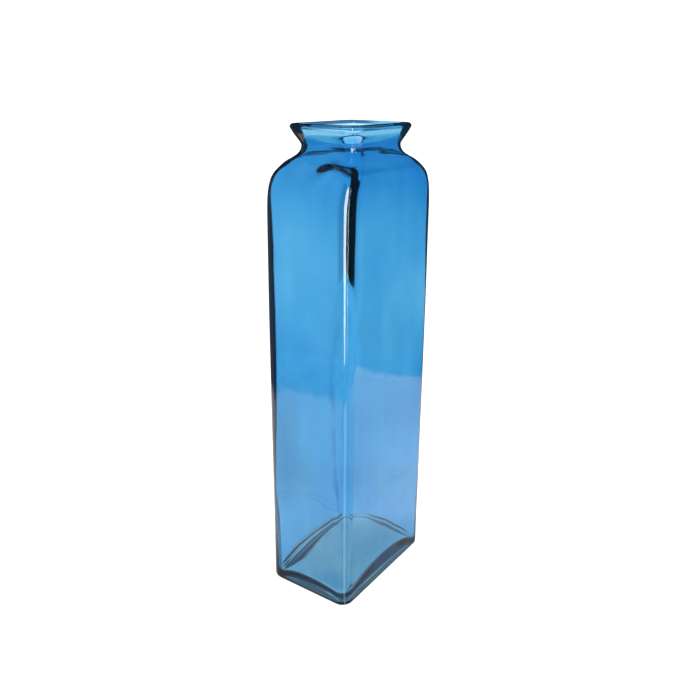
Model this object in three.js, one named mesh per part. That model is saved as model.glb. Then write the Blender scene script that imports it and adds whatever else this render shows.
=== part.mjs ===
// Tall one-piece glass vase with a rectangular body, rounded shoulders,
// a drawn-in neck and a flared, fire-polished mouth.
// Units are millimetres, +Z is up. The origin is on the standing surface,
// under the middle of the base. X is the narrow way, Y is the wide way.

import * as THREE from 'three';

// ---------------------------------------------------------------- dimensions
const HEIGHT = 300;            // standing surface to the top of the lip
const BODY_HALF_X = 31.5;      // half of the body's narrow way
const BODY_HALF_Y = 48.1;      // half of the body's wide way
const CORNER_R_FOOT = 8.1;     // radius of the upright corners at the foot
const CORNER_R_TOP = 10.5;     // the same radius under the shoulder
const HEEL_R = 2.4;            // rounding between the sides and the foot
const LIP_R_OUT = 2.1;         // rounding of the lip's outer edge
const LIP_R_IN = 2.0;          // rounding of the lip's inner edge
const BEARING_WIDTH = 3.6;     // flat ring that the vase stands on
const PUNT_RISE = 6.4;         // how far the underside is pushed up
const PUNT_R = 4.4;            // corner radius of the pushed-up part
const FLOOR_CENTRE = 16.4;     // height of the inner floor over the middle
const FLOOR_CURVE = 0.00434;   // fall of the inner floor per mm squared from the axis
const FLOOR_FILLET = 2.6;      // rounding between floor and walls, inside
const FOLD_RISE = 3.3;         // sharper fold inside the shoulder, over the near narrow side

// Outer shape from the body up to the lip: height, half X, half Y, corner radius.
const OUTER = [
  [HEEL_R, BODY_HALF_X, BODY_HALF_Y, CORNER_R_FOOT],
  [120, BODY_HALF_X, BODY_HALF_Y, 8.8],
  [190, BODY_HALF_X - 0.01, BODY_HALF_Y - 0.02, 9.4],
  [240, BODY_HALF_X - 0.02, BODY_HALF_Y - 0.06, CORNER_R_TOP],
  [252, 31.46, 47.92, 10.6],
  [258, 31.40, 47.50, 10.5],
  [264, 31.30, 46.38, 10.2],
  [267, 31.20, 45.42, 10.2],
  [270, 30.98, 44.08, 10.2],
  [273, 30.35, 41.95, 10.2],
  [276, 28.92, 38.95, 10.2],
  [279, 26.93, 35.42, 10.2],
  [281, 24.78, 32.02, 10.1],
  [283, 22.92, 29.30, 10.1],
  [285, 21.82, 27.86, 9.8],
  [286.6, 21.30, 27.36, 9.4],
  [288, 21.08, 27.20, 9.0],
  [289.5, 21.42, 27.80, 8.7],
  [291.5, 22.12, 28.95, 8.2],
  [294.5, 23.18, 30.68, 7.4],
  [HEIGHT - LIP_R_OUT, 24.15, 32.30, 6.6],
];

// Inner shape from the body up to the lip. The wall is about 4 mm, up to 5 mm
// under the shoulder, and the upright corners differ because the inside was
// formed freely: height, half X, half Y, then the corner radii at
// (+X, +Y), (-X, +Y), (-X, -Y) and (+X, -Y).
const INNER = [
  [20, 27.60, 44.20, 3.0, 4.0, 5.5, 5.6],
  [45, 27.75, 44.35, 2.5, 4.0, 5.0, 5.8],
  [70, 27.85, 44.45, 2.0, 4.0, 3.0, 6.0],
  [100, 27.75, 44.35, 2.0, 4.0, 3.6, 6.2],
  [130, 27.60, 44.20, 2.0, 4.0, 4.8, 6.8],
  [165, 27.45, 44.05, 1.8, 3.6, 5.2, 8.0],
  [192, 27.25, 43.85, 1.8, 3.2, 5.0, 8.0],
  [206, 27.00, 43.70, 2.2, 3.0, 4.4, 7.6],
  [212, 26.85, 43.66, 2.4, 3.0, 4.2, 6.6],
  [218, 26.70, 43.62, 2.6, 3.0, 4.0, 3.0],
  [224, 26.55, 43.58, 2.8, 3.0, 4.0, 1.0],
  [230, 26.42, 43.52, 3.0, 3.0, 4.0, 0.5],
  [240, 26.30, 43.40, 3.0, 3.0, 3.6, 0.4],
  [250, 26.30, 43.25, 3.0, 3.0, 3.2, 0.4],
  [256, 26.40, 43.05, 3.0, 3.0, 2.8, 0.5],
  [261, 26.60, 42.50, 2.6, 3.0, 2.4, 0.7],
  [265, 26.65, 41.40, 2.4, 3.0, 2.2, 0.9],
  [269, 26.25, 39.40, 2.4, 3.0, 2.2, 3.2],
  [272, 25.60, 36.60, 2.6, 3.4, 2.4, 6.8],
  [275, 23.30, 33.00, 3.0, 4.0, 2.8, 7.4],
  [278, 21.10, 29.10, 3.6, 4.8, 3.4, 7.4],
  [281, 18.90, 25.70, 4.0, 5.4, 4.2, 7.0],
  [284, 17.60, 23.95, 4.0, 5.6, 4.6, 6.6],
  [287, 17.20, 23.45, 4.0, 5.8, 4.8, 6.2],
  [291, 17.65, 24.30, 5.2, 5.8, 4.7, 6.2],
  [295, 18.15, 25.50, 6.2, 5.8, 5.0, 6.2],
  [HEIGHT - LIP_R_IN, 18.70, 26.80, 6.6, 5.6, 5.0, 6.0],
];

// ------------------------------------------------------------------- helpers
const ARC_STEPS = 5;   // steps in each rounded corner of a section
const SIDE_X = 5;      // steps along a side that runs in X
const SIDE_Y = 7;      // steps along a side that runs in Y

// Monotone cubic through the table, one column at a time.
function smoothTable(table) {
  const n = table.length, cols = table[0].length - 1;
  const slopes = [];
  for (let c = 1; c <= cols; c++) {
    const d = [], m = new Array(n).fill(0);
    for (let i = 0; i < n - 1; i++) {
      d.push((table[i + 1][c] - table[i][c]) / (table[i + 1][0] - table[i][0]));
    }
    m[0] = d[0]; m[n - 1] = d[n - 2];
    for (let i = 1; i < n - 1; i++) {
      if (d[i - 1] * d[i] <= 0) { m[i] = 0; continue; }
      const h0 = table[i][0] - table[i - 1][0], h1 = table[i + 1][0] - table[i][0];
      const w0 = 2 * h1 + h0, w1 = h1 + 2 * h0;
      m[i] = (w0 + w1) / (w0 / d[i - 1] + w1 / d[i]);
    }
    slopes.push(m);
  }
  return (z) => {
    let i = 0;
    while (i < n - 2 && z > table[i + 1][0]) i++;
    const h = table[i + 1][0] - table[i][0];
    const t = Math.min(Math.max((z - table[i][0]) / h, 0), 1);
    const out = [];
    for (let c = 1; c <= cols; c++) {
      const y0 = table[i][c], y1 = table[i + 1][c];
      const m0 = slopes[c - 1][i] * h, m1 = slopes[c - 1][i + 1] * h;
      out.push(y0 * (1 + 2 * t) * (1 - t) ** 2 + m0 * t * (1 - t) ** 2
        + y1 * t * t * (3 - 2 * t) + m1 * t * t * (t - 1));
    }
    return out;
  };
}

// Points of a rounded rectangle, counter-clockwise seen from above, with one
// corner radius or four.
function section(a, b, ...radii) {
  const points = [];
  const corners = [[1, 1, 0], [-1, 1, 90], [-1, -1, 180], [1, -1, 270]];
  const r = corners.map((_, k) => Math.min(radii[radii.length === 4 ? k : 0], a * 0.98, b * 0.98));
  corners.forEach(([sx, sy, start], k) => {
    const cx = sx * (a - r[k]), cy = sy * (b - r[k]);
    for (let i = 0; i <= ARC_STEPS; i++) {
      const t = (start + 90 * i / ARC_STEPS) * Math.PI / 180;
      points.push([cx + r[k] * Math.cos(t), cy + r[k] * Math.sin(t)]);
    }
    const [nx, ny, next] = corners[(k + 1) % 4];
    const rn = r[(k + 1) % 4];
    const t1 = next * Math.PI / 180;
    const from = points[points.length - 1];
    const to = [nx * (a - rn) + rn * Math.cos(t1), ny * (b - rn) + rn * Math.sin(t1)];
    const steps = k % 2 === 0 ? SIDE_X : SIDE_Y;
    for (let i = 1; i < steps; i++) {
      const u = i / steps;
      points.push([from[0] + (to[0] - from[0]) * u, from[1] + (to[1] - from[1]) * u]);
    }
  });
  return points;
}

// The inner floor is a low dome that sags a little along one side and at three corners:
// centre x, centre y, spread in x, spread in y, depth.
const FLOOR_SAGS = [
  [-26, 6, 260, 420, 1.7],
  [-24, -22, 200, 200, -0.7],
  [-25, -42, 70, 70, 2.1],
  [25, 42, 90, 90, 2.4],
  [-25, 42, 260, 520, 2.8],
];
const floorHeight = (x, y) => FLOOR_SAGS.reduce(
  (z, [cx, cy, sx, sy, depth]) => z - depth * Math.exp(-((x - cx) ** 2 / sx + (y - cy) ** 2 / sy)),
  FLOOR_CENTRE - FLOOR_CURVE * (x * x + y * y));

const ease = (t) => { const u = Math.min(Math.max(t, 0), 1); return u * u * (3 - 2 * u); };

// ------------------------------------------------------------- build rings
// Rings run from the middle of the underside, out over the foot, up the
// outside, over the lip, down the inside and in to the middle of the floor.
const outerAt = smoothTable(OUTER);
const innerAt = smoothTable(INNER);
const rings = [];
const flatRing = (a, b, r, z) => rings.push(section(a, b, ...[r].flat()).map(([x, y]) => [x, y, z]));

// Underside: pushed-up middle, then the flat bearing ring.
const footA = BODY_HALF_X - HEEL_R, footB = BODY_HALF_Y - HEEL_R, footR = CORNER_R_FOOT - HEEL_R;
const puntA = footA - BEARING_WIDTH, puntB = footB - BEARING_WIDTH;
const puntHeight = (x, y) => PUNT_RISE * (1 - (x / puntA) ** 8) * (1 - (y / puntB) ** 10)
  * (1 - 0.2 * ((x / puntA) ** 2 + (y / puntB) ** 2));
for (const s of [0.3, 0.55, 0.72, 0.82, 0.9, 0.96]) {
  const round = PUNT_R + (puntA - PUNT_R) * 0.55 * (1 - s);
  rings.push(section(puntA * s, puntB * s, Math.min(round, puntA * s * 0.98))
    .map(([x, y]) => [x, y, puntHeight(x, y)]));
}
flatRing(puntA, puntB, PUNT_R, 0);
flatRing(footA, footB, footR, 0);

// Heel.
for (let i = 1; i < 4; i++) {
  const t = (i / 4) * Math.PI / 2;
  const d = HEEL_R * (1 - Math.sin(t));
  flatRing(BODY_HALF_X - d, BODY_HALF_Y - d, CORNER_R_FOOT - d, HEEL_R * (1 - Math.cos(t)));
}

// Outside of the body, shoulder, neck and flare.
for (const z of [HEEL_R, 120, 190, 240, 252, 258, 262, 266, 269, 271.5, 274, 276.5, 279, 281, 283,
  285, 286.6, 288, 289.5, 291.5, 294.5, HEIGHT - LIP_R_OUT]) {
  flatRing(...outerAt(z), z);
}

// Lip: outer rounding, then inner rounding.
{
  const [a, b, r] = outerAt(HEIGHT - LIP_R_OUT);
  for (let i = 1; i <= 4; i++) {
    const t = (i / 4) * Math.PI / 2;
    const d = LIP_R_OUT * (1 - Math.cos(t));
    flatRing(a - d, b - d, r - d, HEIGHT - LIP_R_OUT + LIP_R_OUT * Math.sin(t));
  }
  const [c, e, ...q] = innerAt(HEIGHT - LIP_R_IN);
  for (let i = 0; i < 4; i++) {
    const t = (i / 4) * Math.PI / 2;
    const d = LIP_R_IN * (1 - Math.sin(t));
    flatRing(c + d, e + d, q.map((r) => r + d), HEIGHT - LIP_R_IN + LIP_R_IN * Math.cos(t));
  }
}

// Inside of the mouth, shoulder and body. Inside the shoulder the glass is
// folded more sharply over the near end of the narrow side.
const fold = (height, x) => {
  const z = height - 2.2 + 1.4 * ease(x / 12) + 2.9 * ease((x - 8) / 18);
  return z < 271 ? ease((z - 260) / 11) : 1 - ease((z - 271) / 8.5);
};
for (const z of [HEIGHT - LIP_R_IN, 295, 291, 287, 284, 281, 278, 275, 272, 269, 265, 261, 256, 250, 240, 230,
  224, 218, 212, 206, 192, 165, 130, 100, 70, 45]) {
  const [a, b, ...r] = innerAt(z);
  rings.push(section(a, b, ...r).map(([x, y]) => [x, y,
    z + FOLD_RISE * fold(z, x) * ease((x + 2) / 16) * ease((-y / b - x / a + 0.14) / 0.15)]));
}

// Foot of the inner walls and the fillet onto the domed floor. The joint
// between floor and wall rises towards the middle of every side.
const [wallA, wallB, ...wallR] = innerAt(20);
const wall = section(wallA, wallB, ...wallR);
const inset = section(wallA - FLOOR_FILLET, wallB - FLOOR_FILLET, ...wallR.map((r) => Math.max(r - FLOOR_FILLET, 0.4)));
for (let i = 0; i <= 3; i++) {
  const t = (i / 3) * Math.PI / 2;
  const u = 1 - Math.cos(t);
  rings.push(wall.map(([x, y], k) => {
    const [xi, yi] = inset[k];
    return [x + (xi - x) * u, y + (yi - y) * u,
      floorHeight(xi, yi) + FLOOR_FILLET * (1 - Math.sin(t))];
  }));
}
for (const s of [0.86, 0.7, 0.52, 0.34, 0.17]) {
  rings.push(section((wallA - FLOOR_FILLET) * s, (wallB - FLOOR_FILLET) * s,
    ...wallR.map((r) => Math.max(r - FLOOR_FILLET, 0.4) + 26 * (1 - s))).map(([x, y]) => [x, y, floorHeight(x, y)]));
}

// ------------------------------------------------------------- build the mesh
const count = rings[0].length;
const positions = [];
const indices = [];
positions.push(0, 0, PUNT_RISE);
for (const ring of rings) for (const p of ring) positions.push(...p);
positions.push(0, 0, floorHeight(0, 0));
const at = (ring, k) => 1 + ring * count + (k % count);
const lastPoint = 1 + rings.length * count;
for (let k = 0; k < count; k++) indices.push(0, at(0, k + 1), at(0, k));
for (let i = 0; i < rings.length - 1; i++) {
  for (let k = 0; k < count; k++) {
    indices.push(at(i, k), at(i, k + 1), at(i + 1, k + 1));
    indices.push(at(i, k), at(i + 1, k + 1), at(i + 1, k));
  }
}
for (let k = 0; k < count; k++) indices.push(at(rings.length - 1, k), at(rings.length - 1, k + 1), lastPoint);

const geometry = new THREE.BufferGeometry();
geometry.setAttribute('position', new THREE.Float32BufferAttribute(positions, 3));
geometry.setIndex(indices);
geometry.computeVertexNormals();

const blueGlass = new THREE.MeshStandardMaterial({ color: 0x3f8fd2, roughness: 0.05, metalness: 0.0 });
const vase = new THREE.Mesh(geometry, blueGlass);
vase.name = 'glass_vase';

const part = new THREE.Group();
part.add(vase);

export default part;
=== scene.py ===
"""A tall blue glass vase with a rectangular body, rounded shoulders, a drawn-in neck and a flared mouth."""
import math

import bpy
import numpy as np
from mathutils import Euler, Matrix, Vector, noise


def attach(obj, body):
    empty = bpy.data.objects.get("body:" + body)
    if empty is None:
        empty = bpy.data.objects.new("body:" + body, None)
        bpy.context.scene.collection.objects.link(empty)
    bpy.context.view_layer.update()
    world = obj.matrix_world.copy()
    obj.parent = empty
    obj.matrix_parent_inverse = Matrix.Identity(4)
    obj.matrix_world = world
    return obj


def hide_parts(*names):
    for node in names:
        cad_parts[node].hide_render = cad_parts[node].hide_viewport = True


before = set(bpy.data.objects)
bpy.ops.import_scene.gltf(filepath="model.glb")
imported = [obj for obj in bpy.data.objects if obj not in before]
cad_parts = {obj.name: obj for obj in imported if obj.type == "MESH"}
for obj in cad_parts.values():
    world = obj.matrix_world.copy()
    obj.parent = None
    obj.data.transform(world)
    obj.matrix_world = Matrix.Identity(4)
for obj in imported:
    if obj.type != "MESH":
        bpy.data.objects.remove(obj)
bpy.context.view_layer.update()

MM = 0.001

# ------------------------------------------------------------------ dimensions, in millimetres
HEIGHT = 300.0
BODY_X, BODY_Y = 31.5, 48.1          # half sizes of the body
FOOT_R, TOP_R = 8.1, 9.5             # upright corners at the foot and under the shoulder
HEEL_R = 2.4
LIP_OUT, LIP_IN = 2.1, 2.0
BEARING, PUNT_RISE, PUNT_R = 3.6, 6.4, 4.4
WALL, INNER_R = 4.0, 5.6
FLOOR_TOP, FLOOR_CURVE, FLOOR_FILLET = 16.4, 0.00434, 2.6

OUTER = np.array([
    (HEEL_R, 31.50, 48.10, 8.10), (120, 31.50, 48.10, 8.80), (190, 31.49, 48.08, 9.40), (240, 31.48, 48.04, 10.5),
    (252, 31.46, 47.92, 10.6), (258, 31.40, 47.50, 10.5), (264, 31.30, 46.38, 10.2),
    (267, 31.20, 45.42, 10.2), (270, 30.98, 44.08, 10.2), (273, 30.35, 41.95, 10.2),
    (276, 28.92, 38.95, 10.2), (279, 26.93, 35.42, 10.2), (281, 24.78, 32.02, 10.1),
    (283, 22.92, 29.30, 10.1), (285, 21.82, 27.86, 9.80), (286.6, 21.30, 27.36, 9.40),
    (288, 21.08, 27.20, 9.00), (289.5, 21.42, 27.80, 8.70), (291.5, 22.12, 28.95, 8.20),
    (294.5, 23.18, 30.68, 7.40), (HEIGHT - LIP_OUT, 24.15, 32.30, 6.60)])

# inside: z, half sizes, then the four corner radii: right (+X+Y), back (-X+Y), left (-X-Y), front (+X-Y)
INNER = np.array([
    (20, 27.60, 44.20, 3.0, 4.0, 5.5, 5.6), (45, 27.75, 44.35, 2.5, 4.0, 5.0, 5.8), (70, 27.85, 44.45, 2.0, 4.0, 3.0, 6.0),
    (100, 27.75, 44.35, 2.0, 4.0, 3.6, 6.2), (130, 27.60, 44.20, 2.0, 4.0, 4.8, 6.8), (165, 27.45, 44.05, 1.8, 3.6, 5.2, 8.0),
    (192, 27.25, 43.85, 1.8, 3.2, 5.0, 8.0), (206, 27.00, 43.70, 2.2, 3.0, 4.4, 7.6), (212, 26.85, 43.66, 2.4, 3.0, 4.2, 6.6),
    (218, 26.70, 43.62, 2.6, 3.0, 4.0, 3.0), (224, 26.55, 43.58, 2.8, 3.0, 4.0, 1.0), (230, 26.42, 43.52, 3.0, 3.0, 4.0, 0.5),
    (240, 26.30, 43.40, 3.0, 3.0, 3.6, 0.4), (250, 26.30, 43.25, 3.0, 3.0, 3.2, 0.4), (256, 26.40, 43.05, 3.0, 3.0, 2.8, 0.5),
    (261, 26.60, 42.50, 2.6, 3.0, 2.4, 0.7), (265, 26.65, 41.40, 2.4, 3.0, 2.2, 0.9), (269, 26.25, 39.40, 2.4, 3.0, 2.2, 3.2),
    (272, 25.60, 36.60, 2.6, 3.4, 2.4, 6.8), (275, 23.30, 33.00, 3.0, 4.0, 2.8, 7.4), (278, 21.10, 29.10, 3.6, 4.8, 3.4, 7.4),
    (281, 18.90, 25.70, 4.0, 5.4, 4.2, 7.0), (284, 17.60, 23.95, 4.0, 5.6, 4.6, 6.6), (287, 17.20, 23.45, 4.0, 5.8, 4.8, 6.2),
    (291, 17.65, 24.30, 5.2, 5.8, 4.7, 6.2), (295, 18.15, 25.50, 6.2, 5.8, 5.0, 6.2), (HEIGHT - LIP_IN, 18.70, 26.80, 6.6, 5.6, 5.0, 6.0)])


def smooth_table(table):
    """A monotone cubic through every column of a table, over its first column."""
    x, y = table[:, 0], table[:, 1:]
    d = np.diff(y, axis=0) / np.diff(x)[:, None]
    m = np.zeros_like(y)
    m[0], m[-1] = d[0], d[-1]
    h = np.diff(x)
    for i in range(1, len(x) - 1):
        w0, w1 = 2 * h[i] + h[i - 1], h[i] + 2 * h[i - 1]
        same = d[i - 1] * d[i] > 0
        with np.errstate(divide="ignore", invalid="ignore"):
            m[i] = np.where(same, (w0 + w1) / (w0 / d[i - 1] + w1 / d[i]), 0.0)

    def at(z):
        i = int(np.clip(np.searchsorted(x, z) - 1, 0, len(x) - 2))
        t = min(max((z - x[i]) / h[i], 0.0), 1.0)
        return (y[i] * (1 + 2 * t) * (1 - t) ** 2 + m[i] * h[i] * t * (1 - t) ** 2
                + y[i + 1] * t * t * (3 - 2 * t) + m[i + 1] * h[i] * t * t * (t - 1))
    return at


outer_at, inner_at = smooth_table(OUTER), smooth_table(INNER)

# ------------------------------------------------------------------ sections
SIDE_X, SIDE_Y = 20, 30              # steps along the two kinds of side
ARC_AT = np.array([0, 6, 12, 18, 24, 30, 35, 40, 44, 47, 48.6, 49.4, 50, 50.6, 51.4, 53, 56, 60, 66, 72, 78, 84, 90.0])
SEAM_AT, SEAM_RISE = 12, 0.10        # the mould's joint: which step of the corner, and how far it stands up


def section(a, b, *r):
    """Points of a rounded rectangle, counter-clockwise seen from above, with one radius or one a corner."""
    r = [min(v, a * 0.98, b * 0.98) for v in (r if len(r) == 4 else (r[0],) * 4)]
    pts = []
    corners = [(1, 1, 0), (-1, 1, 90), (-1, -1, 180), (1, -1, 270)]
    for k, (sx, sy, start) in enumerate(corners):
        t = np.radians(start + ARC_AT)
        arc = np.stack([sx * (a - r[k]) + r[k] * np.cos(t), sy * (b - r[k]) + r[k] * np.sin(t)], 1)
        nx, ny, nxt = corners[(k + 1) % 4]
        rn = r[(k + 1) % 4]
        end = np.array([nx * (a - rn) + rn * math.cos(math.radians(nxt)),
                        ny * (b - rn) + rn * math.sin(math.radians(nxt))])
        n = SIDE_X if k % 2 == 0 else SIDE_Y
        u = (np.arange(1, n) / n)[:, None]
        pts += [arc, arc[-1] + (end - arc[-1]) * u]
    return np.concatenate(pts)


def ring(a, b, r, z):
    xy = section(a, b, *np.atleast_1d(r))
    return np.column_stack([xy, np.full(len(xy), float(z))])


def floor_z(x, y):
    sag = 1.7 * np.exp(-((x + 26) ** 2 / 260 + (y - 6) ** 2 / 420)) - 0.7 * np.exp(-((x + 24) ** 2 / 200 + (y + 22) ** 2 / 200))
    sag = sag + 2.1 * np.exp(-((x + 25) ** 2 + (y + 42) ** 2) / 70) + 2.4 * np.exp(-((x - 25) ** 2 + (y - 42) ** 2) / 90)
    sag = sag + 2.8 * np.exp(-((x + 25) ** 2 / 260 + (y - 42) ** 2 / 520))
    return FLOOR_TOP - FLOOR_CURVE * (x * x + y * y) - sag


FOOT_A, FOOT_B = BODY_X - HEEL_R, BODY_Y - HEEL_R
PUNT_A, PUNT_B = FOOT_A - BEARING, FOOT_B - BEARING


def punt_z(x, y):
    return PUNT_RISE * (1 - (x / PUNT_A) ** 8) * (1 - (y / PUNT_B) ** 10) * (1 - 0.2 * ((x / PUNT_A) ** 2 + (y / PUNT_B) ** 2))


def ease(t):
    t = np.clip(t, 0, 1)
    return t * t * (3 - 2 * t)


# The inside of the shoulder is folded more sharply over the near end of the narrow side.
FOLD_RISE = 3.3


def fold(z, x):
    z = z - 2.2 + 1.4 * ease(x / 12) + 2.9 * ease((x - 8) / 18)
    return np.where(z < 271, ease((z - 260) / 11), 1 - ease((z - 271) / 8.5))


def fold_reach(x, y, a, b):
    return ease((x + 2) / 16) * ease((-y / b - x / a + 0.14) / 0.15)


def make_rings():
    """Rings from the middle of the underside, over the lip, to the middle of the inner floor."""
    rings, kind = [], []

    def add(r, k):
        rings.append(r); kind.append(k)

    for s in np.concatenate([np.linspace(0.06, 0.72, 14), np.linspace(0.75, 0.985, 16)]):
        xy = section(PUNT_A * s, PUNT_B * s, PUNT_R + (PUNT_A - PUNT_R) * 0.55 * (1 - s))
        add(np.column_stack([xy, punt_z(xy[:, 0], xy[:, 1])]), "under")
    for d in (0.0, 0.3, 1.2, BEARING / 2, BEARING - 0.6, BEARING):
        add(ring(PUNT_A + d, PUNT_B + d, PUNT_R + (FOOT_R - HEEL_R - PUNT_R) * d / BEARING, 0), "foot")
    for i in range(1, 9):
        t = i / 9 * math.pi / 2
        d = HEEL_R * (1 - math.sin(t))
        add(ring(BODY_X - d, BODY_Y - d, FOOT_R - d, HEEL_R * (1 - math.cos(t))), "heel")
    zs = np.concatenate([[HEEL_R, 3.2, 4.4, 6, 8, 10.5, 13], np.arange(16, 240, 3.5),
                         np.arange(240, 262, 1.5), np.arange(262, 282, 0.7),
                         np.arange(282, HEIGHT - LIP_OUT, 0.35), [HEIGHT - LIP_OUT]])
    for z in zs:
        a, b, r = outer_at(z)
        add(ring(a, b, r, z), "outer")
    a, b, r = outer_at(HEIGHT - LIP_OUT)
    for i in range(1, 9):
        t = i / 8 * math.pi / 2
        d = LIP_OUT * (1 - math.cos(t))
        add(ring(a - d, b - d, r - d, HEIGHT - LIP_OUT + LIP_OUT * math.sin(t)), "lip")
    a, b, *r = inner_at(HEIGHT - LIP_IN)
    r = np.array(r)
    for i in range(0, 8):
        t = i / 8 * math.pi / 2
        d = LIP_IN * (1 - math.sin(t))
        add(ring(a + d, b + d, r + d, HEIGHT - LIP_IN + LIP_IN * math.cos(t)), "lip")
    zs = np.concatenate([[HEIGHT - LIP_IN], np.arange(HEIGHT - LIP_IN - 0.5, 282, -0.5),
                         np.arange(282, 262, -0.8), np.arange(262, 240, -1.5),
                         np.arange(240, 22, -3.5)])
    for z in zs:
        a, b, *r = inner_at(z)
        q = ring(a, b, r, z)
        q[:, 2] += FOLD_RISE * fold(z, q[:, 0]) * fold_reach(q[:, 0], q[:, 1], a, b)
        add(q, "inner")
    a, b, *r = inner_at(20)
    wall = section(a, b, *r)
    r = np.array(r)
    inset = section(a - FLOOR_FILLET, b - FLOOR_FILLET, *np.maximum(r - FLOOR_FILLET, 0.4))
    fz = floor_z(inset[:, 0], inset[:, 1])
    # a few rings that change from level rings to the rising joint with the floor
    for u in (0.25, 0.5, 0.75):
        z = 22 * (1 - u) + (fz + FLOOR_FILLET) * u
        add(np.column_stack([wall, z]), "inner")
    for i in range(0, 9):
        t = i / 8 * math.pi / 2
        u = 1 - math.cos(t)
        xy = wall + (inset - wall) * u
        add(np.column_stack([xy, fz + FLOOR_FILLET * (1 - math.sin(t))]), "fillet")
    for s in np.linspace(0.97, 0.06, 26):
        xy = section((a - FLOOR_FILLET) * s, (b - FLOOR_FILLET) * s, *(np.maximum(r - FLOOR_FILLET, 0.4) + 26 * (1 - s)))
        add(np.column_stack([xy, floor_z(xy[:, 0], xy[:, 1])]), "floor")
    return rings, kind


def build_vase():
    rings, kind = make_rings()
    n = len(rings[0])
    co = np.concatenate([[[0, 0, PUNT_RISE]], *rings, [[0, 0, FLOOR_TOP]]])
    faces = []
    base = lambda i: 1 + i * n
    k0, k1 = np.arange(n), (np.arange(n) + 1) % n
    faces += [(0, base(0) + int(b), base(0) + int(a)) for a, b in zip(k0, k1)]
    for i in range(len(rings) - 1):
        lo, hi = base(i), base(i + 1)
        faces += [(lo + int(a), lo + int(b), hi + int(b), hi + int(a)) for a, b in zip(k0, k1)]
    last, tip = base(len(rings) - 1), len(co) - 1
    faces += [(last + int(a), last + int(b), tip) for a, b in zip(k0, k1)]
    return co, faces, kind, n


co, faces, kind, n_ring = build_vase()

# ------------------------------------------------------------------ hand-made irregularity
# Slow waves of the glass: the outside was shaped by a mould and is nearly flat, the inside was free.


def wave(p, size, seed):
    return noise.noise(Vector((p[0] / size + seed, p[1] / size + 3.1 * seed, p[2] / (size * 1.6) - seed)))


def bump_out(p):
    edge = math.exp(-((p[0] - 29) ** 2 + (p[1] + 45) ** 2) / 60.0)
    return 0.055 * wave(p, 21.0, 5.3) + 0.02 * wave(p, 7.0, 11.7) + edge * (0.10 * wave(p, 15.0, 7.9) - 0.05)


def bump_in(p):
    return 0.30 * wave(p, 34.0, 2.2) + 0.08 * wave(p, 13.0, 8.9)


mesh = bpy.data.meshes.new("glass_vase_body")
mesh.from_pydata((co * MM).tolist(), [], faces)
mesh.update()
normals = np.array([v.normal for v in mesh.vertices])
moved = co.copy()
n_arc = len(ARC_AT)
corner_start = [0, n_arc + SIDE_X - 1, 2 * n_arc + SIDE_X + SIDE_Y - 2, 3 * n_arc + 2 * SIDE_X + SIDE_Y - 3]
seam_steps = {corner_start[c] + SEAM_AT + k: w for c in (1, 3) for k, w in ((-1, 0.5), (0, 1.0), (1, 0.5))}
tags = ["under"] + [k for k in kind for _ in range(n_ring)] + ["floor"]
for i, (p, k) in enumerate(zip(co, tags)):
    if k == "outer":
        fade = min(1.0, max(0.0, (p[2] - HEEL_R) / 12.0)) * min(1.0, (HEIGHT - LIP_OUT - p[2]) / 6.0)
        d = (bump_out(p) - 0.06) * fade
        step = (i - 1) % n_ring
        if step in seam_steps:
            d += SEAM_RISE * seam_steps[step] * fade
    elif k == "inner":
        fade = min(1.0, (HEIGHT - LIP_IN - p[2]) / 8.0) * min(1.0, max(0.0, (p[2] - 14.0) / 20.0))
        d = bump_in(p) * fade
    elif k == "floor":
        d = 0.12 * wave(p, 16.0, 4.4) * min(1.0, 0.2 + abs(1 - abs(p[0]) / 25.0))
    else:
        d = 0.0
    if d:
        moved[i] = p + normals[i] * d
mesh.vertices.foreach_set("co", (moved * MM).ravel())
mesh.polygons.foreach_set("use_smooth", [True] * len(mesh.polygons))
mesh.update()

# ------------------------------------------------------------------ where the glass carries its colour
# A blue film on the outside, thin at the heel; the inside, the floor and the underside are nearly clear. The same
# colour also carries painted shade: a dark line, the far lip, the foot of the front corner and a patch on the floor.
FILM = np.array([0.31, 0.635, 0.845])          # share of the light that one pass through the film lets by
CLEAR = np.array([0.93, 0.975, 0.985])


FILM_Z = [0, 2, 5, 9, 16, 30, 60, 100, 140, 165, 185, 205, 235, 250, 262, 275, 286, 290.5, 292.5, 293.8, 295, 296.7, 297.5, 300]
FILM_K = [0.8, 0.85, 0.95, 1.1, 1.2, 1.25, 1.15, 1.15, 1.2, 1.2, 1.1, 1.0, 1.0, 1.12, 1.3, 1.45, 1.65, 1.7, 1.6, 1.3, 0.55, 0.5, 1.2, 1.0]
SIDE_Z = [0, 30, 60, 100, 140, 165, 185, 205, 225, 280, 289, 293, 300]
SIDE_K = [1.0, 1.08, 1.16, 1.20, 1.12, 0.92, 0.87, 0.99, 1.19, 1.28, 1.38, 1.2, 1.1]


# painted shade: a dark line in the glass, just left of the front corner
LINE_Z = [52, 62, 80, 110, 140, 167, 190, 198]
LINE_X = [28.4, 27.4, 24.75, 22.0, 21.75, 20.5, 24.2, 26.0]
LINE_K = [0.0, 0.6, 1.1, 1.2, 1.0, 0.35, 0.15, 0.0]


def painted_shade_line(p):
    if p[1] > 0 or not LINE_Z[0] < p[2] < LINE_Z[-1]:
        return 0.0
    off = p[0] - float(np.interp(p[2], LINE_Z, LINE_X))
    broken = min(1.0, max(0.0, 0.75 + 1.1 * noise.noise(Vector((3.3, 1.7, p[2] / 11.0)))))
    return float(np.interp(p[2], LINE_Z, LINE_K)) * broken * math.exp(-off * off / 1.3)


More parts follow.
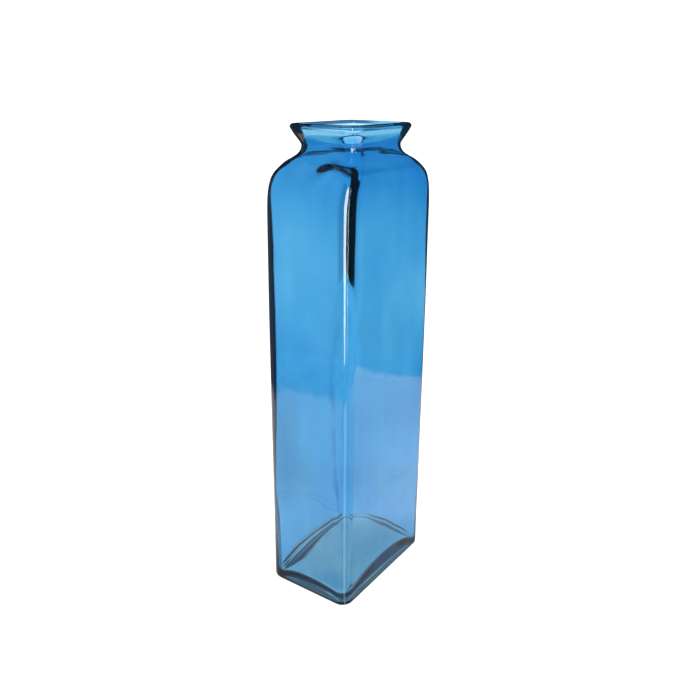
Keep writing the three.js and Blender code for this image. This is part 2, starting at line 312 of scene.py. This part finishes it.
def film_amount(p, k):
    if k in ("outer", "heel"):
        drawn = noise.noise(Vector((p[0] / 7.0 + 2.7, p[1] / 7.0 - 4.4, p[2] / 90.0)))
        k = float(np.interp(p[2], FILM_Z, FILM_K)) * (1 + 0.15 * wave(p, 30.0, 6.6) + 0.07 * wave(p, 10.0, 1.6) + 0.09 * drawn)
        return k * (1 + (float(np.interp(p[2], SIDE_Z, SIDE_K)) - 1) * min(1.0, max(0.0, p[0] / 28.0)))
    if k == "lip":
        return 0.45
    # the floor: painted shade towards the front corner, with random tone over it
    if k == "floor":
        return (0.58 * math.exp(-((p[0] - 16) ** 2 / 200 + (p[1] + 38) ** 2 / 50)) + 0.05
                + 0.12 * wave(p, 12.0, 9.4) + 0.14 * wave(p, 4.5, 3.8))
    return 0.0


amount = np.array([max(0.0, film_amount(p, k)) for p, k in zip(co, tags)])[:, None]
passes = CLEAR ** (1 - np.clip(amount, 0, 1)) * FILM ** amount
# painted shade: the far side of the lip is darkened
far_lip_shade = np.array([float(ease((4 - p[0]) / 14)) * float(ease((p[1] + 30) / 20)) * min(1.0, max(0.0, (p[2] - HEIGHT + 2.6) / 1.2))
                if k == "lip" else 0.0 for p, k in zip(co, tags)])[:, None]
passes = passes * (1 - far_lip_shade * np.array([0.80, 0.72, 0.60]))
# the film is darkened along the painted line of shade
line_shade = np.array([painted_shade_line(p) if k == "outer" else 0.0 for p, k in zip(co, tags)])[:, None]
passes = passes * (1 - line_shade * np.array([0.62, 0.52, 0.40]))
# painted shade darkens the foot at the front corner
toe_shade = np.array([math.exp(-((p[0] - 29) ** 2 + (p[1] + 46) ** 2) / 60.0) * min(1.0, max(0.0, (5.5 - p[2]) / 3.0))
                if k in ("outer", "heel") else 0.0 for p, k in zip(co, tags)])[:, None]
passes = passes * (1 - toe_shade * np.array([0.25, 0.50, 0.60]))
tint = np.column_stack([passes ** 2, np.ones(len(co))])
# the film colour, with the painted shade in it
attr = mesh.color_attributes.new("film_and_painted_shade", "FLOAT_COLOR", "POINT")
attr.data.foreach_set("color", tint.ravel())
vase = bpy.data.objects.new("blue_glass_vase", mesh)
bpy.context.collection.objects.link(vase)

# ------------------------------------------------------------------ glass
glass = bpy.data.materials.new("vase_glass")
glass.use_nodes = True
nt = glass.node_tree
nt.nodes.clear()
out = nt.nodes.new("ShaderNodeOutputMaterial")
bsdf = nt.nodes.new("ShaderNodeBsdfPrincipled")
film_and_painted_shade = nt.nodes.new("ShaderNodeVertexColor")
film_and_painted_shade.layer_name = "film_and_painted_shade"
nt.links.new(film_and_painted_shade.outputs["Color"], bsdf.inputs["Base Color"])
bsdf.inputs["Roughness"].default_value = 0.0
bsdf.inputs["IOR"].default_value = 1.5
bsdf.inputs["Transmission Weight"].default_value = 1.0
nt.links.new(bsdf.outputs["BSDF"], out.inputs["Surface"])
absorb = nt.nodes.new("ShaderNodeVolumeAbsorption")
absorb.inputs["Color"].default_value = (0.10, 0.40, 0.48, 1)
absorb.inputs["Density"].default_value = 36.0
nt.links.new(absorb.outputs["Volume"], out.inputs["Volume"])
mesh.materials.append(glass)

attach(vase, "root")
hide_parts("glass_vase")

# ------------------------------------------------------------------ studio
floor_mesh = bpy.data.meshes.new("studio_floor")
R = 0.52
ang = np.linspace(0, 2 * math.pi, 97)[:-1]
floor_mesh.from_pydata([(R * math.cos(t), R * math.sin(t), 0) for t in ang], [], [tuple(range(96))])
studio_floor = bpy.data.objects.new("studio_floor", floor_mesh)
bpy.context.collection.objects.link(studio_floor)
pale = bpy.data.materials.new("pale_floor")
pale.use_nodes = True
pt = pale.node_tree
pb = pt.nodes["Principled BSDF"]
pb.inputs["Base Color"].default_value = (0.50, 0.50, 0.50, 1)
pb.inputs["Roughness"].default_value = 0.9
pb.inputs["Specular IOR Level"].default_value = 0.0


def node_math(tree, op, a, b=0.0, clamp=False):
    n = tree.nodes.new("ShaderNodeMath"); n.operation = op; n.use_clamp = clamp
    for k, v in enumerate((a, b)):
        if hasattr(v, "links"):
            tree.links.new(v, n.inputs[k])
        else:
            n.inputs[k].default_value = v
    return n.outputs[0]


# the dark card is painted: the table and the world are darkened in its direction
CARD = (-0.880, 0.474, 0.0)          # direction of the dark card, seen from the vase
BEHIND = (-0.569, 0.822, 0.0)        # direction of the white sweep


def card_factor(tree, vector, direction=CARD, low=0.962, high=0.994):
    """1 towards the card, 0 well to either side of it."""
    flat = tree.nodes.new("ShaderNodeVectorMath"); flat.operation = "MULTIPLY"
    flat.inputs[1].default_value = (1, 1, 0)
    tree.links.new(vector, flat.inputs[0])
    unit = tree.nodes.new("ShaderNodeVectorMath"); unit.operation = "NORMALIZE"
    tree.links.new(flat.outputs["Vector"], unit.inputs[0])
    dot = tree.nodes.new("ShaderNodeVectorMath"); dot.operation = "DOT_PRODUCT"
    dot.inputs[1].default_value = direction
    tree.links.new(unit.outputs["Vector"], dot.inputs[0])
    span = tree.nodes.new("ShaderNodeMapRange")
    span.interpolation_type = "SMOOTHSTEP"
    span.inputs["From Min"].default_value = low
    span.inputs["From Max"].default_value = high
    tree.links.new(dot.outputs["Value"], span.inputs["Value"])
    return span.outputs["Result"]


# The table gives a little light of its own, and ends softly, in a ragged edge.
fp = pt.nodes.new("ShaderNodeLightPath")
# painted shade: the table's light is dimmed where the glass mirrors it inside a wall
turned = node_math(pt, "MULTIPLY", node_math(pt, "GREATER_THAN", fp.outputs["Glossy Depth"], 0.5),
                   node_math(pt, "MULTIPLY", node_math(pt, "GREATER_THAN", fp.outputs["Transmission Depth"], 0.5),
                             node_math(pt, "LESS_THAN", fp.outputs["Transmission Depth"], 2.5)))
co_node = pt.nodes.new("ShaderNodeTexCoord")
near = pt.nodes.new("ShaderNodeVectorMath"); near.operation = "LENGTH"
pt.links.new(co_node.outputs["Object"], near.inputs[0])
away = node_math(pt, "MULTIPLY", node_math(pt, "SUBTRACT", near.outputs["Value"], 0.075), 18.0, clamp=True)
depth = fp.outputs["Transmission Depth"]
glow = node_math(pt, "SUBTRACT", 0.68, node_math(pt, "MULTIPLY", turned, node_math(pt, "ADD", node_math(pt, "MULTIPLY", away, 0.14), 0.50)))
# painted light: near the vase the table is brighter where seen through more than two glass surfaces
under = node_math(pt, "MULTIPLY", node_math(pt, "GREATER_THAN", depth, 2.5), node_math(pt, "SUBTRACT", 1.0, away))
glow = node_math(pt, "ADD", glow, node_math(pt, "MULTIPLY", under, 0.20))
# painted shade: seen only through the glass, the table is darkened towards one side behind, as if a dark card stood
# there, and in cloudy patches
seen = node_math(pt, "GREATER_THAN", fp.outputs["Transmission Depth"], 0.5)
card_shade_mask = card_factor(pt, co_node.outputs["Object"])
shade = node_math(pt, "MULTIPLY", node_math(pt, "MULTIPLY", card_shade_mask, seen), node_math(pt, "MULTIPLY", away, 0.42))
cloud = pt.nodes.new("ShaderNodeTexNoise")
cloud.inputs["Scale"].default_value = 11.0
cloud.inputs["Detail"].default_value = 3.0
pt.links.new(co_node.outputs["Object"], cloud.inputs["Vector"])
patch = node_math(pt, "MULTIPLY", node_math(pt, "SUBTRACT", cloud.outputs["Fac"], 0.42), 1.6, clamp=True)
shade = node_math(pt, "ADD", shade, node_math(pt, "MULTIPLY", node_math(pt, "MULTIPLY", patch, seen), 0.55))
glow = node_math(pt, "MULTIPLY", glow, node_math(pt, "SUBTRACT", 1.05, shade))
# painted reflections, seen only in the outside of the glass: the table is painted dimmer on one side and at a glancing
# angle, with a painted highlight strip in front
mirror = node_math(pt, "MULTIPLY", node_math(pt, "GREATER_THAN", fp.outputs["Glossy Depth"], 0.5), node_math(pt, "SUBTRACT", 1.0, seen))
sep = pt.nodes.new("ShaderNodeSeparateXYZ")
pt.links.new(co_node.outputs["Object"], sep.inputs["Vector"])
side = node_math(pt, "MULTIPLY", node_math(pt, "MULTIPLY", sep.outputs["X"], 6.0, clamp=True), mirror)
FRONT = (0.799, -0.602, 0.0)
corner = pt.nodes.new("ShaderNodeVectorMath"); corner.operation = "SUBTRACT"
corner.inputs[1].default_value = (0.028, -0.044, 0.0)
pt.links.new(co_node.outputs["Object"], corner.inputs[0])
wide = node_math(pt, "MULTIPLY", card_factor(pt, corner.outputs["Vector"], FRONT, 0.86, 0.93), mirror)
# painted highlight: a pale strip in front of the front corner, seen only in reflections
painted_highlight_strip = node_math(pt, "MULTIPLY", card_factor(pt, corner.outputs["Vector"], FRONT, 0.955, 0.985), mirror)
lit = node_math(pt, "SUBTRACT", 1.0, node_math(pt, "MULTIPLY", side, 0.26))
lit = node_math(pt, "MULTIPLY", lit, node_math(pt, "SUBTRACT", 1.0, node_math(pt, "MULTIPLY", wide, 0.6)))
# painted shade: in reflections the table is darkened right beside the vase
close_shade = node_math(pt, "SUBTRACT", 1.0, node_math(pt, "MULTIPLY", node_math(pt, "SUBTRACT", near.outputs["Value"], 0.064), 30.0, clamp=True))
lit = node_math(pt, "MULTIPLY", lit, node_math(pt, "SUBTRACT", 1.0, node_math(pt, "MULTIPLY", node_math(pt, "MULTIPLY", close_shade, mirror), 0.60)))
glance = card_factor(pt, co_node.outputs["Object"], BEHIND, 0.60, 0.86)
lit = node_math(pt, "MULTIPLY", lit, node_math(pt, "SUBTRACT", 1.0, node_math(pt, "MULTIPLY", node_math(pt, "MULTIPLY", glance, mirror), 0.85)))
# the painted highlight strip is added to the table's light
glow = node_math(pt, "ADD", node_math(pt, "MULTIPLY", glow, lit), node_math(pt, "MULTIPLY", painted_highlight_strip, 2.4))
# painted shade: seen once through a wall, the table is darkened except towards the white sweep behind
thin = node_math(pt, "MULTIPLY", node_math(pt, "SUBTRACT", seen, node_math(pt, "GREATER_THAN", depth, 2.5)),
                 node_math(pt, "LESS_THAN", fp.outputs["Glossy Depth"], 0.5))
aside = node_math(pt, "MULTIPLY", thin, node_math(pt, "SUBTRACT", 1.0, card_factor(pt, co_node.outputs["Object"], BEHIND, 0.788, 0.951)))
kept = node_math(pt, "SUBTRACT", 1.0, node_math(pt, "MULTIPLY", aside, 0.75))
glow = node_math(pt, "MULTIPLY", glow, kept)
shade_col = pt.nodes.new("ShaderNodeCombineColor")
# painted shade: the table's grey is dimmed where the glass mirrors it inside a wall
dull = node_math(pt, "MULTIPLY", turned, node_math(pt, "ADD", node_math(pt, "MULTIPLY", away, 0.50), 0.45))
grey = node_math(pt, "MULTIPLY", node_math(pt, "MULTIPLY", lit, 0.50), node_math(pt, "MULTIPLY", kept, node_math(pt, "SUBTRACT", 1.0, dull)))
for ch in ("Red", "Green", "Blue"):
    pt.links.new(grey, shade_col.inputs[ch])
pt.links.new(shade_col.outputs["Color"], pb.inputs["Base Color"])
pb.inputs["Emission Color"].default_value = (1, 1, 1, 1)
pt.links.new(glow, pb.inputs["Emission Strength"])
ln = pt.nodes.new("ShaderNodeVectorMath"); ln.operation = "LENGTH"
mp = pt.nodes.new("ShaderNodeMapping")
mp.inputs["Location"].default_value = (-0.025, 0.0, 0.0)
pt.links.new(co_node.outputs["Object"], mp.inputs["Vector"])
pt.links.new(mp.outputs["Vector"], ln.inputs[0])
nz = pt.nodes.new("ShaderNodeTexNoise")
nz.inputs["Scale"].default_value = 8.5
nz.inputs["Detail"].default_value = 5.0
pt.links.new(co_node.outputs["Object"], nz.inputs["Vector"])
edge = node_math(pt, "ADD", ln.outputs["Value"], node_math(pt, "MULTIPLY", nz.outputs["Fac"], 0.20))
rng = pt.nodes.new("ShaderNodeMapRange")
rng.interpolation_type = "SMOOTHSTEP"
rng.inputs["From Min"].default_value = 0.465
rng.inputs["From Max"].default_value = 0.505
rng.inputs["To Min"].default_value = 1.0
rng.inputs["To Max"].default_value = 0.0
pt.links.new(edge, rng.inputs["Value"])
pt.links.new(rng.outputs["Result"], pb.inputs["Alpha"])
floor_mesh.materials.append(pale)
studio_floor.location.z = -0.0002

world = bpy.data.worlds.new("studio")
bpy.context.scene.world = world
world.use_nodes = True
wt = world.node_tree
bg = wt.nodes["Background"]
path = wt.nodes.new("ShaderNodeLightPath")


def w_math(op, a, b):
    n = wt.nodes.new("ShaderNodeMath"); n.operation = op; n.use_clamp = True
    for k, v in enumerate((a, b)):
        if hasattr(v, "links"):
            wt.links.new(v, n.inputs[k])
        else:
            n.inputs[k].default_value = v
    return n.outputs[0]


def w_mix(factor, a, b):
    n = wt.nodes.new("ShaderNodeMix"); n.data_type = "RGBA"
    wt.links.new(factor, n.inputs["Factor"])
    for key, v in (("A", a), ("B", b)):
        if hasattr(v, "links"):
            wt.links.new(v, n.inputs[key])
        else:
            n.inputs[key].default_value = (*v, 1)
    return n.outputs["Result"]


# A white sweep behind and below, a dim room for reflections, and a dark room for light that was
# turned aside inside a wall without crossing the hollow.
reflected = w_math("GREATER_THAN", path.outputs["Glossy Depth"], 0.5)
passed = w_math("GREATER_THAN", path.outputs["Transmission Depth"], 0.5)
crossed = w_math("GREATER_THAN", path.outputs["Transmission Depth"], 2.5)
wc = wt.nodes.new("ShaderNodeTexCoord")
ws = wt.nodes.new("ShaderNodeSeparateXYZ")
wt.links.new(wc.outputs["Generated"], ws.inputs["Vector"])
rising = w_math("MULTIPLY", w_math("SUBTRACT", ws.outputs["Z"], 0.50), 4.0)
walls = w_mix(rising, (0.018, 0.022, 0.045), (0.55, 0.60, 0.66))
steep = w_math("MULTIPLY", w_math("SUBTRACT", ws.outputs["Z"], 0.24), 8.0)
beyond = w_mix(steep, (0.55, 0.60, 0.66), (0.10, 0.20, 0.22))
inside = w_mix(crossed, walls, beyond)
away_x = w_math("MULTIPLY", w_math("ADD", ws.outputs["X"], 0.1), 4.0)
outside = w_mix(away_x, (0.20, 0.29, 0.40), (0.06, 0.22, 0.37))
# what the outside mirrors at a glancing angle, along both edges, is dark
glance = card_factor(wt, wc.outputs["Generated"], BEHIND, 0.60, 0.86)
outside = w_mix(w_math("MULTIPLY", glance, 0.9), outside, (0.015, 0.018, 0.03))
room = w_mix(passed, outside, inside)
view = w_math("SUBTRACT", reflected, path.outputs["Is Diffuse Ray"])
wn = wt.nodes.new("ShaderNodeTexNoise")
wn.inputs["Scale"].default_value = 2.2
wn.inputs["Detail"].default_value = 2.0
wt.links.new(wc.outputs["Generated"], wn.inputs["Vector"])
uneven = w_mix(wn.outputs["Fac"], (1.72, 1.72, 1.72), (1.24, 1.24, 1.24))
uneven = w_mix(w_math("MULTIPLY", card_factor(wt, wc.outputs["Generated"]), 0.42), uneven, (0.25, 0.26, 0.30))
sweep = w_mix(passed, (1.25, 1.25, 1.25), uneven)
wt.links.new(w_mix(view, sweep, room), bg.inputs["Color"])
bg.inputs["Strength"].default_value = 1.0


def area(name, loc, target, size_x, size_y, power, color=(1, 1, 1)):
    light = bpy.data.lights.new(name, "AREA")
    light.shape = "RECTANGLE"
    light.size, light.size_y = size_x, size_y
    light.energy = power
    light.color = color
    ob = bpy.data.objects.new(name, light)
    ob.location = loc
    ob.rotation_euler = (Vector(target) - Vector(loc)).to_track_quat("-Z", "Y").to_euler()
    bpy.context.collection.objects.link(ob)
    return ob


strip = area("strip_front", (0.640, -0.706, 0.42), (0.03, -0.045, 0.42), 0.28, 1.20, 11.5)
strip.data.shape = "ELLIPSE"
strip.visible_camera = False
strip.visible_transmission = False

# ------------------------------------------------------------------ camera
TURN, PITCH, ROLL = math.radians(34.69), math.radians(20.0), math.radians(0.52)
D, H = 1.4830 * 0.3, 1.0691 * 0.3
cam_data = bpy.data.cameras.new("camera")
cam_data.sensor_width = 36.0
cam_data.lens = 37.5
cam_data.clip_start, cam_data.clip_end = 0.02, 60.0
cam = bpy.data.objects.new("camera", cam_data)
cam.location = (D * math.sin(TURN), -D * math.cos(TURN), H)
forward = Vector((-math.sin(TURN) * math.cos(PITCH), math.cos(TURN) * math.cos(PITCH), -math.sin(PITCH)))
quat = forward.to_track_quat("-Z", "Y")
cam.rotation_mode = "QUATERNION"
cam.rotation_quaternion = quat @ Euler((0, 0, ROLL)).to_quaternion()
bpy.context.collection.objects.link(cam)
scene = bpy.context.scene
scene.camera = cam
scene.view_settings.view_transform = "Standard"
scene.view_settings.look = "None"
scene.cycles.max_bounces = 24
scene.cycles.transmission_bounces = 24
scene.cycles.glossy_bounces = 16
scene.cycles.diffuse_bounces = 3
scene.cycles.transparent_max_bounces = 8

bpy.context.view_layer.update()
